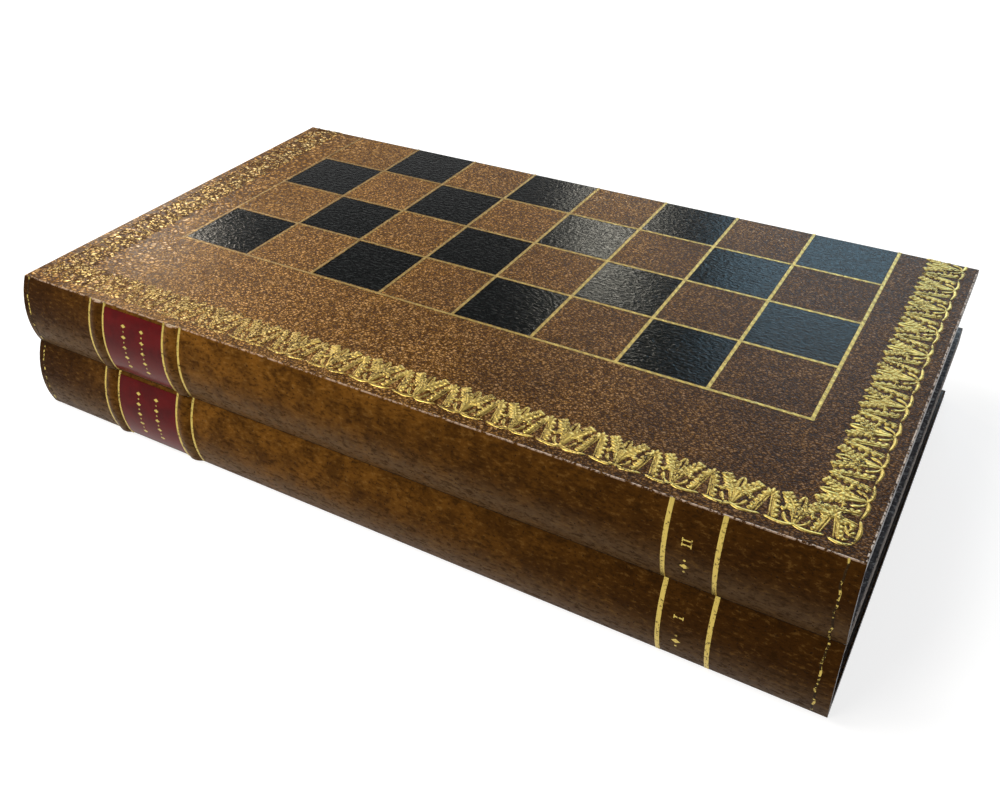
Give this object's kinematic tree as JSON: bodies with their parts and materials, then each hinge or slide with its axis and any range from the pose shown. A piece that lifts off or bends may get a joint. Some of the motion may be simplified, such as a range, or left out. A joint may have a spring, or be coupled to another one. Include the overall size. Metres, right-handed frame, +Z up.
{
  "type": "folding chess board",
  "caption": "Games box in the form of two stacked leather-bound volumes, hinged along the fore-edge so that the outer covers unfold into a chequered board.",
  "frame": {"origin": "centre of the underside of the closed box, on the surface it rests on", "axes": "+X along the spines, +Y from the spines to the hinged fore-edge, +Z up"},
  "size_m": [0.3748, 0.2259, 0.07],
  "materials": {
    "cover_leather": "pebble-grained tan brown leather, lightly glazed and worn along its edges",
    "onlay_leather": "black onlay leather, glazed",
    "label_leather": "dark crimson label leather, polished",
    "page_edge": "scored wood, sprinkled dark grey like the cut leaves of a book",
    "box_wood": "plain hardwood",
    "band_cord": "hard twisted cord under the leather",
    "tray_leather": "smooth tan lining leather",
    "point_red": "red onlay leather",
    "point_black": "black onlay leather",
    "brass": "aged brass"
  },
  "bodies": {
    "lower_volume": {"lower_cover_board": "box_wood", "lower_cover_leather": "cover_leather", "lower_dark_squares": "onlay_leather", "lower_spine_core": "box_wood", "lower_spine_bands": "band_cord", "lower_spine_leather": "cover_leather", "lower_title_label": "label_leather", "lower_page_block_left": "page_edge", "lower_page_block_right": "page_edge", "lower_fore_edge_block": "box_wood", "lower_fore_edge_leather": "cover_leather", "lower_rim_spine": "box_wood", "lower_rim_right": "box_wood", "lower_rim_fore_edge": "box_wood", "lower_rim_left": "box_wood", "lower_rim_leather": "cover_leather", "lower_wall_lining": "tray_leather", "lower_floor_lining": "tray_leather", "lower_points_red": "point_red", "lower_points_black": "point_black", "lower_hinge_leaves": "brass", "lower_hinge_screws": "brass", "hinge_pins": "brass"},
    "upper_volume": {"upper_cover_board": "box_wood", "upper_cover_leather": "cover_leather", "upper_dark_squares": "onlay_leather", "upper_spine_core": "box_wood", "upper_spine_bands": "band_cord", "upper_spine_leather": "cover_leather", "upper_title_label": "label_leather", "upper_page_block_left": "page_edge", "upper_page_block_right": "page_edge", "upper_fore_edge_block": "box_wood", "upper_fore_edge_leather": "cover_leather", "upper_rim_spine": "box_wood", "upper_rim_right": "box_wood", "upper_rim_fore_edge": "box_wood", "upper_rim_left": "box_wood", "upper_rim_leather": "cover_leather", "upper_wall_lining": "tray_leather", "upper_floor_lining": "tray_leather", "upper_points_red": "point_red", "upper_points_black": "point_black", "upper_hinge_leaves": "brass", "upper_hinge_screws": "brass"}
  },
  "joints": [
    {"name": "cover_hinge", "type": "hinge", "parent": "lower_volume", "child": "upper_volume", "pos_m": [0, 0.1108, 0.035], "axis": [-1, 0, 0], "range_deg": [0, 180]}
  ]
}
